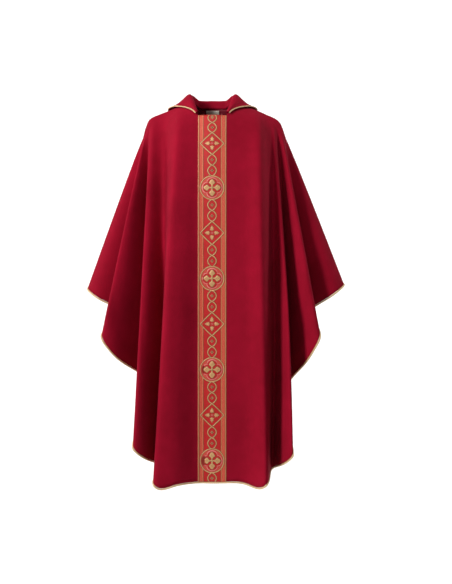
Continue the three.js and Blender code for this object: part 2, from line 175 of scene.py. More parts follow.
def mesh_object(name, verts, faces, smooth=True):
    """A mesh object from plain lists, with its faces turned outwards if it is closed."""
    mesh = bpy.data.meshes.new(name)
    mesh.from_pydata([tuple(v) for v in verts], [], [tuple(f) for f in faces])
    bm = bmesh.new()
    bm.from_mesh(mesh)
    bmesh.ops.recalc_face_normals(bm, faces=bm.faces)
    bm.to_mesh(mesh)
    bm.free()
    mesh.polygons.foreach_set("use_smooth", [smooth] * len(mesh.polygons))
    made = bpy.data.objects.new(name, mesh)
    scene.collection.objects.link(made)
    return made


sweep = [(-9.0, FLOOR)] + [
    (2.4 + 1.6 * math.sin(t), FLOOR + 1.6 * (1 - math.cos(t))) for t in np.linspace(0, math.pi / 2, 17)
] + [(4.0, FLOOR + 7)]
sheet_verts = [(x, y, z) for x in (-8, 8) for y, z in sweep]
sheet_faces = [(i, i + 1, len(sweep) + i + 1, len(sweep) + i) for i in range(len(sweep) - 1)]
backdrop = mesh_object("backdrop", sheet_verts, sheet_faces)
backdrop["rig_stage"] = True
print("floor at", round(FLOOR, 3))

# %% [markdown]
# The light comes mostly from the upper left, so each fold is bright on its left and dark in the valley
# behind it. Weak lights from the right and above keep the folds from going black, and two lights
# behind the garment keep the wall white.

# %% Lights


def area_light(name, place, aim, size, power):
    data = bpy.data.lights.new(name, "AREA")
    data.shape = "RECTANGLE"
    data.size, data.size_y = size
    data.energy = power
    light = bpy.data.objects.new(name, data)
    light.location = place
    way = np.array(aim, float) - np.array(place, float)
    light.rotation_euler = (math.atan2(math.hypot(way[0], way[1]), -way[2]), 0,
                            math.atan2(-way[0], way[1]))
    scene.collection.objects.link(light)
    return light


area_light("key", (-2.6, -2.8, 1.2), (0.05, 0, -0.5), (0.9, 1.1), 165)
area_light("fill", (3.0, -3.4, 0.2), (0, 0, -0.6), (1.6, 2.0), 5)
area_light("top", (0.1, -1.3, 2.1), (0, 0, -0.4), (1.4, 1.0), 22)
area_light("wall_left", (-3.0, 1.0, 1.2), (-0.6, 4.2, -0.2), (2.0, 2.6), 120)
area_light("wall_right", (3.0, 1.0, 1.2), (0.6, 4.2, -0.2), (2.0, 2.6), 120)
world = bpy.data.worlds.new("studio")
world.use_nodes = True
world.node_tree.nodes["Background"].inputs["Color"].default_value = (1, 1, 1, 1)
world.node_tree.nodes["Background"].inputs["Strength"].default_value = 0.05
scene.world = world

# %% [markdown]
# ## How the cloth hangs
# Each half of the front and of the back is one flat piece of wool. From the end of the shoulder seam
# its folds fan out in straight lines, as they do in a real cape, because cloth hardly stretches. So
# the drape is described by lines: where each leaves the shoulder seam, its angle in the flat cut, and
# the way it hangs. A smooth curve through those lines gives every line between them. The lines were
# given one by one and not by a simulation, so the cloth keeps its lengths only roughly.

# %% Sizes of the cut
SLOPE = math.radians(20)  # of the shoulder seam
SEAM = np.array([math.cos(SLOPE), math.sin(SLOPE)])
OVER = np.array([-SEAM[1], SEAM[0]])  # away from the seam, on the flat cut
NECK = np.array([0.078, 0.0])  # the neck end of the seam
NECK_DEEP = {"front": 0.075, "back": 0.026}
CUT_HALF, CUT_LENGTH, FULLNESS = 0.78, 1.246, 2.15  # the free edge, a rounded oval
BAND_HALF = 0.045  # half the woven band's width
WOOL = 0.0012  # thickness of the cloth
GAP = 0.00035  # between layers that are sewn together
HALF_SEAM = 0.0002  # half the gap between pieces that are sewn edge to edge
SIDE = {"front": -1, "back": 1}
OTHER = {"front": "back", "back": "front"}
SHOULDER = 0.034, 0.045  # how deep the cloth goes round the shoulder, and how gently
YOKE = 0.15  # how gently it turns from the shoulder to the hang
EARLY = 0.05  # the folds show this much sooner than straight lines would
CHEST = {"front": 0.118, "back": 0.088}
print("cut:", 2 * CUT_HALF, "m wide,", round(CUT_LENGTH, 3), "m from neck centre to front hem")

# %% [markdown]
# Each line below says: where it starts along the seam from the neck, its angle below the seam in
# degrees, how far it leans out and forward for each metre of fall, its share of the chest's fullness,
# and how far it bows sideways halfway down. Ridges and valleys take turns.

# %% The fold lines
START, ANGLE, OUT, FORE, FULL, BOW = range(6)
FOLDS = {
    ("front", "right"): [
        (-0.083, 70, 0, 0, 1, 0),
        (-0.0351, 70, 0, 0, 1, 0),
        (0.006, 69, 0.025, 0.038, 1, 0),
        (0.036, 65.5, 0.058, 0.042, 1, 0),
        (0.086, 63.6, -0.012, 0.01, 0.26, 0),
        (0.112, 61, 0.028, 0.115, 0.16, 0),
        (0.130, 57.5, 0.042, 0.13, 0.1, 0),
        (0.140, 43, -0.01, -0.02, 0, 0),
        (0.140, 34, 0.13, 0.105, 0, 0),
        (0.140, 26, 0.192, 0.115, 0, 0),
        (0.140, 14, 0.11, -0.035, 0, 0),
        (0.140, 7, 0.26, 0.022, 0, 0),
        (0.140, 0, 0.335, 0, 0, 0),
    ],
    ("front", "left"): [
        (-0.083, 70, 0, 0, 1, 0),
        (-0.0351, 70, 0, 0, 1, 0),
        (0.034, 69.3, 0.008, 0.006, 1, 0),
        (0.085, 68, 0.012, 0.044, 0.96, 0),
        (0.105, 65.4, 0.012, 0.0, 0.33, 0.012),
        (0.114, 63, 0.04, 0.105, 0.2, 0.015),
        (0.122, 59.5, 0.052, 0.12, 0.12, 0.015),
        (0.142, 45, 0.02, -0.02, 0, 0.01),
        (0.147, 35, 0.12, 0.098, 0, 0),
        (0.150, 27, 0.172, 0.108, 0, 0),
        (0.152, 15, 0.155, -0.035, 0, 0),
        (0.152, 7, 0.28, 0.022, 0, 0),
        (0.152, 0, 0.36, 0, 0, 0),
    ],
    ("back", "right"): [
        (-0.083, 70, 0, 0, 1, 0),
        (-0.0351, 70, 0, 0, 1, 0),
        (0.030, 69.5, 0.005, 0.02, 1, 0),
        (0.100, 68.5, -0.01, 0.058, 0.9, 0),
        (0.122, 65, -0.02, 0.02, 0.25, 0),
        (0.135, 58, 0.01, 0.128, 0.05, 0),
        (0.140, 43, -0.02, 0.0, 0, 0),
        (0.140, 29, 0.17, 0.12, 0, 0),
        (0.140, 14, 0.10, 0.055, 0, 0),
        (0.140, 0, 0.335, 0, 0, 0),
    ],
    ("back", "left"): [
        (-0.083, 70, 0, 0, 1, 0),
        (-0.0351, 70, 0, 0, 1, 0),
        (0.026, 69.6, 0.0, 0.02, 1, 0),
        (0.092, 68.2, 0.0, 0.056, 0.92, 0),
        (0.118, 64.5, -0.015, 0.02, 0.3, 0),
        (0.135, 57, 0.02, 0.126, 0.05, 0),
        (0.142, 42, -0.01, 0.0, 0, 0),
        (0.150, 28, 0.18, 0.12, 0, 0),
        (0.152, 14, 0.12, 0.055, 0, 0),
        (0.152, 0, 0.36, 0, 0, 0),
    ],
}
STEPS = 12  # lines between two named ones


def between_lines(lines):
    """A smooth curve through the lines, with what lies past each end mirrored."""
    rows = np.array(lines, float)
    before, after = rows[1].copy(), rows[-2].copy()
    before[START] = 2 * rows[0, START] - rows[1, START]
    before[[OUT, BOW]] *= -1
    after[[ANGLE, FORE]] *= -1
    points = np.vstack([before, rows, after])
    made = []
    for i in range(len(rows) - 1):
        a, b, c, d = points[i:i + 4]
        for t in np.arange(STEPS) / STEPS:
            made.append(0.5 * (2 * b + (c - a) * t + (2 * a - 5 * b + 4 * c - d) * t ** 2
                               + (3 * b - a - 3 * c + d) * t ** 3))
    return np.vstack([*made, rows[-1]])


LINES = {key: between_lines(lines) for key, lines in FOLDS.items()}
print({key: len(value) for key, value in LINES.items()})

# %% [markdown]
# A point of the flat cut finds its line, and then its place. Where the cloth passes over the shoulder
# seam it belongs to the other face. Rounding every bend over a centimetre or two is a mean over a small
# circle of the flat cloth, which also keeps the front and the back one smooth surface at the shoulder.

# %% From the flat cut to the hanging cloth
BEND = 0.014  # radius that every bend is rounded over
CIRCLE = [(math.cos(t), math.sin(t)) for t in (np.arange(8) + 0.5) * math.pi / 4]


def unevenness(x, y):
    """Small swells that hand-hung cloth always has, stronger lower down."""
    grown = np.clip((y - 0.12) / 0.5, 0, 1)
    swell = (np.sin(31 * x + 5 * y + 1.0) + 0.7 * np.sin(53 * x - 7 * y + 2.0)
             + 0.6 * np.sin(17 * x + 13 * y) + 0.5 * np.sin(78 * x + 3 * y + 0.6))
    return 0.0022 * grown * swell * np.clip(np.abs(x) / 0.12 - 0.35, 0, 1)


def place_on(face, half, x, y):
    """Where flat points of one half of a face hang."""
    lines = LINES[face, half]
    starts = NECK + lines[:, START, None] * SEAM
    angles = np.radians(lines[:, ANGLE]) + SLOPE
    ways = np.stack([np.cos(angles), np.sin(angles)], 1)
    turn = ways[:, 0] * (y[:, None] - starts[:, 1]) - ways[:, 1] * (x[:, None] - starts[:, 0])
    k = np.clip((turn >= 0).argmax(1), 1, len(lines) - 1)
    near, far = (np.take_along_axis(turn, i[:, None], 1)[:, 0] for i in (k - 1, k))
    t = np.clip(near / np.where(near == far, 1, near - far), 0, 1)[:, None]
    row = lines[k - 1] * (1 - t) + lines[k] * t
    begin = NECK + row[:, START, None] * SEAM
    reach = np.hypot(x - begin[:, 0], y - begin[:, 1])
    below = reach * np.sin(np.radians(row[:, ANGLE]))
    deep = SHOULDER[0] * (1 - np.exp(-below / SHOULDER[1]))
    full = row[:, FULL]
    forward = CHEST[face] * full * (1 - np.exp(-reach / YOKE))
    taken_up = (CHEST[face] * full) ** 2 / YOKE / 4 * (1 - np.exp(-2 * reach / YOKE))
    out, fore = row[:, OUT], row[:, FORE]
    down = np.sqrt(1 - out ** 2 - fore ** 2)
    arch = np.clip(reach / 1.15, 0, 1)
    grown = reach + EARLY * (1 - np.exp(-reach / EARLY))
    return np.stack([
        begin[:, 0] + reach * out + 4 * row[:, BOW] * arch * (1 - arch),
        SIDE[face] * (deep + forward + grown * fore + unevenness(x if half == "left" else -x, y)),
        -begin[:, 1] - reach * down + taken_up,
    ], 1)


def hang(face, flat):
    """Flat points (n, 2) to places (n, 3), with every bend still sharp."""
    mirrored, x, y = flat[:, 0] < 0, np.abs(flat[:, 0]), flat[:, 1].copy()
    past = np.minimum(SEAM[0] * y - SEAM[1] * (x - NECK[0]), 0)
    x, y = np.maximum(x - 2 * past * OVER[0], 0), y - 2 * past * OVER[1]
    places = np.zeros((len(x), 3))
    for name, wanted in ((face, past == 0), (OTHER[face], past < 0)):
        for half, here in (("right", mirrored), ("left", ~mirrored)):
            pick = wanted & here
            if pick.any():
                places[pick] = place_on(name, half, x[pick], y[pick])
    places[mirrored, 0] *= -1
    return places


def drape(face, flat):
    """The same, rounded."""
    flat = np.asarray(flat, float).reshape(-1, 2)
    return sum(hang(face, flat + BEND * np.array(c)) for c in CIRCLE) / len(CIRCLE)


def cloth_at(face, flat):
    """Places and outward directions for a grid or list of flat points."""
    flat = np.asarray(flat, float)
    shape, points, step = flat.shape[:-1], flat.reshape(-1, 2), 0.002
    across = drape(face, points + [step, 0]) - drape(face, points - [step, 0])
    down = drape(face, points + [0, step]) - drape(face, points - [0, step])
    outward = unit(np.cross(down, across) * -SIDE[face])
    return drape(face, points).reshape(*shape, 3), outward.reshape(*shape, 3)


def lift(face, surface, distance):
    """A surface that stands off the cloth. The front stays in front of the shoulder seams."""
    places = surface[0] + surface[1] * distance
    places[..., 1] = SIDE[face] * np.maximum(SIDE[face] * places[..., 1], HALF_SEAM)
    return places


print("centre front hem at", drape("front", [(0, CUT_LENGTH)]).round(3))
print("sleeve tips at", drape("front", [(-0.766, 0.25), (0.766, 0.25)]).round(3).tolist())

# %% [markdown]
# ## The four panels
# Each panel is a grid on the flat cut: columns run from the neck to the hem, and beyond a bend they
# follow the fold lines, so that the mesh's own edges lie along the folds. The two sides of the cloth
# are joined at the rim into one closed sheet, as real cloth has two sides and a cut edge.

# %% A grid on the flat cut
COLUMNS, YOKE_ROWS, BODY_ROWS = 12, 14, 84
UNDER_BAND = 4  # columns under half the woven band
SHOULDER_END = 0.21  # from the middle to where the cloth falls off the shoulder
BEND_MIDDLE, BEND_END = 0.075, 0.045  # how far below the neck or the seam the columns bend
HEM_DIP, DIP_AT, DIP_WIDE = {"front": 0.034, "back": 0.008}, 0.17, 0.06


def to_edge(face, start, way):
    """Where rays from inside the cut reach its edge. The hem dips a little beside the band."""
    near, far = np.zeros(len(start)), np.full(len(start), 3.0)
    for _ in range(40):
        middle = (near + far) / 2
        at = start + way * middle[:, None]
        dip = HEM_DIP[face] * np.exp(-((at[:, 0] - DIP_AT) / DIP_WIDE) ** 2)
        shares = (np.abs(at[:, 0]) / CUT_HALF, np.abs(at[:, 1]) / (CUT_LENGTH + dip))
        inside = shares[0] ** FULLNESS + shares[1] ** FULLNESS < 1
        near, far = np.where(inside, middle, near), np.where(inside, far, middle)
    return start + way * near[:, None]


def columns_of(face, half):
    """Neck, bend and hem points of every column, from the centre line out to the shoulder seam."""
    steps = np.concatenate([np.linspace(0, STEPS, UNDER_BAND + 1)[:-1],
                            np.linspace(STEPS, len(LINES[face, half]) - 1,
                                        COLUMNS * (len(FOLDS[face, half]) - 2) + 1)])
    low = np.minimum(steps.astype(int), len(LINES[face, half]) - 2)
    t = (steps - low)[:, None]
    rows = LINES[face, half][low] * (1 - t) + LINES[face, half][low + 1] * t
    start = NECK + rows[:, START, None] * SEAM
    angle = np.radians(rows[:, ANGLE]) + SLOPE
    way = np.stack([np.cos(angle), np.sin(angle)], 1)
    share = np.clip(start[:, 0] / SHOULDER_END, 0, 1)
    bend = start + way * ((NECK_DEEP[face] + BEND_MIDDLE) * (1 - share) + BEND_END * share)[:, None]
    rise = np.clip((np.arange(len(steps)) - UNDER_BAND) / (len(steps) - UNDER_BAND - 1), 0, 1)[:, None]
    corner = np.array([BAND_HALF, NECK_DEEP[face]])
    neck = corner * (1 - rise) + (NECK + OVER * HALF_SEAM) * rise
    neck[:UNDER_BAND, 0] = start[:UNDER_BAND, 0]
    neck[0, 0] = bend[0, 0] = HALF_SEAM
    edge = to_edge(face, bend, way)
    bend[-1] += OVER * HALF_SEAM
    edge[-1] += OVER * HALF_SEAM
    return neck, bend, edge


def grid_of(face, half):
    neck, bend, edge = columns_of(face, half)
    down = [neck + (bend - neck) * t for t in np.linspace(0, 1, YOKE_ROWS + 1)[:-1]]
    down += [bend + (edge - bend) * t for t in np.linspace(0, 1, BODY_ROWS + 1)]
    grid = np.stack(down, 1)
    return grid if half == "left" else grid * (-1, 1)


grids = {key: grid_of(*key) for key in FOLDS}
print({"_".join(k): g.shape[:2] for k, g in grids.items()})

# %% [markdown]
# Every sheet, strip and tape is made by one function: it takes the outer and the inner grid of points,
# zips their rims together, and keeps each point's place on the flat cut, so that a weave follows the
# cloth's own threads round every fold.

# %% A closed sheet from two grids


def closed_sheet(name, outer, inner, flat):
    """A sheet with two sides, joined at its rim."""
    columns, rows = outer.shape[:2]
    count = columns * rows
    verts = np.concatenate([outer.reshape(-1, 3), inner.reshape(-1, 3)])
    index = np.arange(count).reshape(columns, rows)
    a, b, c, d = (i.ravel() for i in (index[:-1, :-1], index[1:, :-1], index[1:, 1:], index[:-1, 1:]))
    top = np.stack([a, b, c, d], 1)
    faces = [top, top[:, ::-1] + count]
    for rim in (index[:, 0], index[::-1, -1], index[0, ::-1], index[-1, :]):
        p, q = rim[:-1], rim[1:]
        faces.append(np.stack([q, p, p + count, q + count], 1))
    made = mesh_object(name, verts, np.concatenate(faces))
    lay_flat(made, np.concatenate([flat.reshape(-1, 2)] * 2))
    return made


def flat_area(grid):
    """Area of the flat cut under a grid."""
    one, two = grid[1:, 1:] - grid[:-1, :-1], grid[:-1, 1:] - grid[1:, :-1]
    return float(np.abs(one[..., 0] * two[..., 1] - one[..., 1] * two[..., 0]).sum() / 2)


for (face, half), grid in grids.items():
    surface = cloth_at(face, grid)
    panel = closed_sheet(f"{face}_{half}_cloth", lift(face, surface, WOOL), lift(face, surface, 0), grid)
    join(panel, "wool", f"{face}_{half}_panel")
    print(panel.name, len(panel.data.polygons), "faces, flat area", round(flat_area(grid), 3))

# %% [markdown]
# ## The woven band
# The orphrey is a woven band that covers the seam down the middle, from the neck to the hem. It has its
# own weave, so it is a separate strip that stands just off the wool and follows it exactly.

# %% The strip and its own coordinates
BAND_LENGTH = {face: CUT_LENGTH - NECK_DEEP[face] for face in SIDE}
BAND_BASE, BAND_TOP = WOOL + GAP, WOOL + GAP + 0.0008
INNER_LINE, OUTER_LINE = 0.029, 0.0433  # where gold lines run along the band
band_across = np.array([-1, -0.94, -0.82, -0.66, -0.62, -0.4, -0.2, 0, 0.2, 0.4, 0.62, 0.66, 0.82, 0.94, 1])
bands = {}
for face in SIDE:
    down = np.linspace(0, BAND_LENGTH[face], 220)
    flat = np.stack(np.meshgrid(band_across * BAND_HALF, down + NECK_DEEP[face], indexing="ij"), -1)
    surface = cloth_at(face, flat)
    bands[face] = down, *surface
    own = flat - (0, NECK_DEEP[face])
    strip = closed_sheet(f"{face}_band", lift(face, surface, BAND_TOP), lift(face, surface, BAND_BASE), own)
    join(strip, "orphrey_weave", f"{face}_orphrey")
    print(strip.name, round(BAND_LENGTH[face], 3), "m long")


def on_band(face, points):
    """Places of (across, down, height) points of the band, by its own grid."""
    down, places, outward = bands[face]
    u = np.interp(points[:, 0], band_across * BAND_HALF, np.arange(len(band_across)))
    v = np.interp(points[:, 1], down, np.arange(len(down)))
    i, j = np.minimum(u.astype(int), len(band_across) - 2), np.minimum(v.astype(int), len(down) - 2)
    s, t = (u - i)[:, None], (v - j)[:, None]

    def mix(grid):
        return ((grid[i, j] * (1 - s) + grid[i + 1, j] * s) * (1 - t)
                + (grid[i, j + 1] * (1 - s) + grid[i + 1, j + 1] * s) * t)

    return mix(places) + mix(outward) * (BAND_TOP + points[:, 2])[:, None]


# %% [markdown]
# ## The figures on the band
# The figures are thread floats that stand a little proud of the ground, so each is real geometry: lines
# are low ridges with a flat top, and petals, leaves and rings are low patches. A collector gathers all
# the shapes of one colour for one face, and lays them on the band at the end.

# %% Lines and patches


SUNK = 0.0003  # how far each figure reaches into the ground below it


class Shapes:
    """Closed low shapes, in the band's own coordinates: across, down and height."""

    def __init__(self):
        self.verts, self.faces = [], []

    def add(self, verts, faces):
        base = len(self.verts)
        self.verts += [tuple(v) for v in verts]
        self.faces += [tuple(base + i for i in f) for f in faces]

    def line(self, points, width, height, closed=False, rise=None):
        """A ridge along a line. rise lifts it at each point, where it crosses over another."""
        points = np.array(points, float)
        if closed:
            way = np.roll(points, -1, 0) - np.roll(points, 1, 0)
        else:
            way = np.gradient(points, axis=0)
        way = unit(way)
        side = np.stack([-way[:, 1], way[:, 0]], 1)
        rise = np.zeros(len(points)) if rise is None else np.asarray(rise)
        section = [(-0.5, -SUNK), (-0.5, height * 0.5), (-0.3, height), (0.3, height),
                   (0.5, height * 0.5), (0.5, -SUNK)]
        n = len(section)
        verts = [(*(p + s * a * width), h + (r if h > 0 else 0))
                 for p, s, r in zip(points, side, rise) for a, h in section]
        count = len(points)
        faces = [(i * n + k, i * n + (k + 1) % n, (i + 1) % count * n + (k + 1) % n, (i + 1) % count * n + k)
                 for i in range(count if closed else count - 1) for k in range(n)]
        if not closed:
            faces += [tuple(range(n)), tuple(range((count - 1) * n, count * n))]
        self.add(verts, faces)

    def patch(self, outline, height, rings=3):
        """A low cushion inside an outline round its own middle."""
        outline = np.array(outline, float)
        middle, n = outline.mean(0), len(outline)
        levels = [(1, -SUNK), (1, height * 0.55), (0.94, height)]
        levels += [(1 - k / rings, height) for k in range(1, rings)]
        verts = [(*(middle + (p - middle) * share), h) for share, h in levels for p in outline]
        verts += [(*middle, height), (*middle, -SUNK)]
        faces = [(r * n + k, r * n + (k + 1) % n, (r + 1) * n + (k + 1) % n, (r + 1) * n + k)
                 for r in range(len(levels) - 1) for k in range(n)]
        last = (len(levels) - 1) * n
        faces += [(last + k, last + (k + 1) % n, len(verts) - 2) for k in range(n)]
        faces += [((k + 1) % n, k, len(verts) - 1) for k in range(n)]
        self.add(verts, faces)

    def lay(self, name, face):
        """Makes the gathered shapes one piece, on the band of a face."""
        points = np.array(self.verts)
        points[:, 1] = np.clip(points[:, 1], 0.0005, BAND_LENGTH[face] - 0.0005)
        made = mesh_object(name, on_band(face, points), self.faces)
        lay_flat(made, points[:, :2])
        return join(made, "orphrey_weave")


def ring(centre, radius, count=48):
    turns = np.arange(count) * 2 * math.pi / count
    return np.stack([centre[0] + radius * np.cos(turns), centre[1] + radius * np.sin(turns)], 1)


def lobed(centre, radius, lobes, depth, power, count=96):
    """A ring whose radius swells into lobes."""
    turns = np.arange(count) * 2 * math.pi / count
    swell = np.abs(np.cos(turns * lobes / 2)) ** power
    return ring(centre, radius * (1 - depth + depth * swell), count)


def turned(outline, centre, quarter):
    """An outline drawn pointing down the band, turned by quarters and moved."""
    c, s = round(math.cos(quarter * math.pi / 2)), round(math.sin(quarter * math.pi / 2))
    outline = np.array(outline, float)
    return np.stack([centre[0] + outline[:, 0] * c - outline[:, 1] * s,
                     centre[1] + outline[:, 0] * s + outline[:, 1] * c], 1)


print("shapes ready")

# %% [markdown]
# The pattern repeats: a cross in a ring, two twisted chain links, a lozenge of leaves, two more links.
# Its two strands swing from side to side and cross, each going over and under in turn.

# %% Sizes of the pattern
HALF_REPEAT = 0.1435  # from the middle of a ring to the middle of a lozenge
FIRST_LOZENGE = 0.1
RING, LOZENGE_HALF, LOZENGE_TALL = 0.0375, 0.0375, 0.0365
LINK_HALF, STRAND = 0.0135, 0.0029
FOIL = 0.0328  # reach of the quatrefoil's lobes
FIRST_FLOWER, FIGURES = 0.006, 10  # the topmost flower's place, and how many rings and lozenges
link = (HALF_REPEAT - RING - LOZENGE_TALL) / 2
OUTLINE = 0.0008  # dark edge on each side of a gold line
print("chain link", round(link * 1000, 1), "mm long")

# %% The strands of the chains and lozenges


def strands(colours, middle):
    """Both strands from one ring, by two links, a lozenge and two links, to the next ring."""
    top = middle - LOZENGE_TALL - 2 * link
    spans = [(top, link, LINK_HALF), (top + link, link, LINK_HALF),
             (middle - LOZENGE_TALL, 2 * LOZENGE_TALL, LOZENGE_HALF),
             (middle + LOZENGE_TALL, link, LINK_HALF), (middle + LOZENGE_TALL + link, link, LINK_HALF)]
    for hand in (1, -1):
        points, rise = [], []
        for number, (start, length, width) in enumerate(spans):
            shares = np.linspace(0, 1, 33 if width == LOZENGE_HALF else 15)[:-1]
            for t in shares:
                side = hand * (-1) ** number
                if width == LOZENGE_HALF:
                    swing = (1 - abs(2 * t - 1)) * 0.9 + 0.1 * math.sin(math.pi * t) ** 0.8
                else:
                    swing = math.sin(math.pi * t) ** 0.72
                points.append((side * width * swing, start + length * t))
                near = max(0, 1 - min(t, 1 - t) * length / 0.006)
                crossing = number + (1 if t > 0.5 else 0)
                rise.append(0.00035 * near * (1 if (crossing % 2 == 0) == (hand > 0) else -0.2))
        colours["dark"].line(points, STRAND + 2 * OUTLINE, 0.00035, rise=rise)
        colours["gold"].line(points, STRAND, 0.0006, rise=rise)


def flower(colours, centre):
    """Four dots round a fifth, inside a link."""
    for quarter in range(4):
        dot = turned([(0, 0.0031)], centre, quarter)[0]
        colours["dark"].patch(ring(dot, 0.0021, 10), 0.0003, 1)
        colours["gold"].patch(ring(dot, 0.0015, 10), 0.00055, 1)
    colours["dark"].patch(ring(centre, 0.0014, 10), 0.0005, 1)


LEAF = [(0.0012, 0.006), (0.0016, 0.0095), (0.0062, 0.0085), (0.0068, 0.0108), (0.0032, 0.0135),
        (0.0062, 0.0148), (0.0056, 0.0172), (0.0024, 0.0172), (0.002, 0.0205), (0, 0.0232)]


def leaves(colours, centre):
    """Four sprigs of five lobes round a pink knot."""
    half = [(x * 0.92, y) for x, y in LEAF]
    sprig = half + [(-x, y) for x, y in half[::-1][1:]]
    for quarter in range(4):
        wide = turned(sprig, centre, quarter)
        middle = wide.mean(0)
        colours["dark"].patch(middle + (wide - middle) * 1.16, 0.0003, 2)
        colours["gold"].patch(wide, 0.0006, 2)
    for quarter in range(4):
        colours["pink"].patch(ring(turned([(0.0019, 0.0019)], centre, quarter)[0], 0.0011, 8), 0.0005, 1)
    colours["pink"].patch(ring(centre, 0.001, 8), 0.0005, 1)


BUD = [(0.0012, 0.0), (0.0022, 0.0075), (0.0042, 0.0105), (0.0086, 0.0135), (0.0100, 0.0168),
       (0.0080, 0.0192), (0.0064, 0.0206), (0.0058, 0.0232), (0.0034, 0.0252), (0, 0.0276)]


def cross_in_ring(colours, centre):
    """A budded cross in a quatrefoil, in a ring."""
    colours["salmon"].patch(ring(centre, RING - 0.001, 64), 0.00015, 4)
    foil = lobed(centre, FOIL, 4, 0.3, 0.62)
    colours["pink"].patch(foil, 0.0003, 4)
    colours["red"].patch(centre + (foil - centre) * 0.93, 0.00045, 4)
    colours["dark"].line(ring(centre, RING, 64), 0.0046, 0.00035, closed=True)
    colours["gold"].line(ring(centre, RING, 64), 0.003, 0.00065, closed=True)
    bud = BUD + [(-x, y) for x, y in BUD[::-1][1:-1]] + [(-0.0009, 0.0)]
    for quarter in range(4):
        arm = turned(bud, centre, quarter)
        middle = arm.mean(0)
        colours["dark"].patch(middle + (arm - middle) * 1.13, 0.00065, 2)
        colours["gold"].patch(arm, 0.0009, 2)
        eye = turned([(0, 0.0128), (0.0030, 0.0165), (0, 0.0215), (-0.0030, 0.0165)], centre, quarter)
        colours["dark"].line(eye, 0.0007, 0.0011, closed=True)
    colours["dark"].patch(ring(centre, 0.0052, 16), 0.00085, 1)
    colours["gold"].patch(ring(centre, 0.0041, 16), 0.0011, 1)
    colours["dark"].line(ring(centre, 0.0022, 12), 0.0006, 0.0013, closed=True)


def gold_lines(colours, face, middles):
    """Lines along the band. The inner pair stops where a ring or a lozenge crosses it."""
    length = BAND_LENGTH[face]
    for hand in (1, -1):
        every = np.linspace(0, length, 240)
        colours["gold"].line([(hand * OUTER_LINE, v) for v in every], 0.0018, 0.00055)
        colours["dark"].line([(hand * (OUTER_LINE - 0.0019), v) for v in every], 0.0009, 0.0004)
        stops = sorted([(m - half, m + half) for m, half in middles])
        start = 0.0
        for low, high in stops + [(length, length)]:
            if low - start > 0.004:
                part = np.linspace(start, low, max(3, int((low - start) / 0.005)))
                colours["dark"].line([(hand * (INNER_LINE - 0.0012), v) for v in part], 0.0008, 0.0004)
                colours["gold"].line([(hand * INNER_LINE, v) for v in part], 0.0012, 0.0005)
            start = high


band_pieces = {}
for face in SIDE:
    colours = {name: Shapes() for name in ("gold", "dark", "red", "pink", "salmon")}
    length, middles = BAND_LENGTH[face], []
    for number in range(FIGURES):
        middle = FIRST_LOZENGE + HALF_REPEAT * number
        if number % 2 == 0:
            if middle - HALF_REPEAT < length:
                strands(colours, middle)
            for reach in (0.5, 1.5):
                for hand in (1, -1):
                    spot = middle + hand * (LOZENGE_TALL + reach * link)
                    if 0.004 < spot < length - 0.004:
                        flower(colours, (0.0, spot))
            if middle + LOZENGE_TALL < length:
                leaves(colours, np.array([0.0, middle]))
            middles.append((middle, 0.011))
        elif middle + RING < length:
            cross_in_ring(colours, np.array([0.0, middle]))
            middles.append((middle, 0.0262))
    flower(colours, (0.0, FIRST_FLOWER))
    gold_lines(colours, face, [m for m in middles if m[0] < length])
    for name, shapes in colours.items():
        # whatever would hang past the hem is left out
        keep = [f for f in shapes.faces if max(shapes.verts[i][1] for i in f) < length + 0.001]
        shapes.faces = [f for f in keep if min(shapes.verts[i][1] for i in f) > -0.002]
        used = sorted({i for f in shapes.faces for i in f})
        place = {old: new for new, old in enumerate(used)}
        shapes.verts = [shapes.verts[i] for i in used]
        shapes.faces = [tuple(place[i] for i in f) for f in shapes.faces]
        band_pieces[face, name] = shapes.lay(f"{face}_band_{name}", face)
    print(face, "band:", {n: len(s.faces) for n, s in colours.items()}, "faces")

# %% [markdown]
# ## The gold piping
# Piping is a twisted cord. A tube whose section has two lobes, turned slowly along its length, gives
# the two strands of the twist in real geometry. It runs along the hem, just past the cloth's edge.

# %% A twisted cord


def evenly(points, spacing):
    """Points along a smooth curve through the given ones, evenly spaced."""
    points = np.array(points, float)
    length = run_of(points)
    wanted = np.linspace(0, length[-1], max(8, int(length[-1] / spacing)))
    tangent = np.gradient(points, length, axis=0)
    k = np.clip(np.searchsorted(length, wanted, "right") - 1, 0, len(points) - 2)
    h = (length[k + 1] - length[k])[:, None]
    t = (wanted - length[k])[:, None] / h
    return (points[k] * (2 * t ** 3 - 3 * t ** 2 + 1) + tangent[k] * h * (t ** 3 - 2 * t ** 2 + t)
            + points[k + 1] * (3 * t ** 2 - 2 * t ** 3) + tangent[k + 1] * h * (t ** 3 - t ** 2))


def twisted_cord(name, path, outward, diameter, pitch, sides=10, face=None):
    """A cord along a path, with the same outward directions at its points."""
    count = len(path)
    way = unit(np.gradient(path, axis=0))
    up = unit(outward - way * (outward * way).sum(1)[:, None])
    beside = np.cross(way, up)
    along = run_of(path)
    turns = np.arange(sides) * 2 * math.pi / sides
    lobes = np.abs(np.cos(turns[None, :] - 2 * math.pi * along[:, None] / pitch))
    radius = diameter / 2 * (0.80 + 0.22 * lobes ** 0.7)
    rings = (path[:, None] + up[:, None] * (radius * np.cos(turns))[..., None]
             + beside[:, None] * (radius * np.sin(turns))[..., None])
    if face:
        rings[..., 1] = SIDE[face] * np.maximum(SIDE[face] * rings[..., 1], HALF_SEAM)
    index = np.arange(count * sides).reshape(count, sides)
    one, two = index[:-1], index[1:]
    faces = np.stack([one, np.roll(one, -1, 1), np.roll(two, -1, 1), two], -1).reshape(-1, 4).tolist()
    faces += [index[0].tolist(), index[-1].tolist()]
    made = mesh_object(name, rings.reshape(-1, 3), faces)
    lay_flat(made, np.stack([np.repeat(along, sides), np.tile(turns * diameter / 2, count)], 1))
    return made


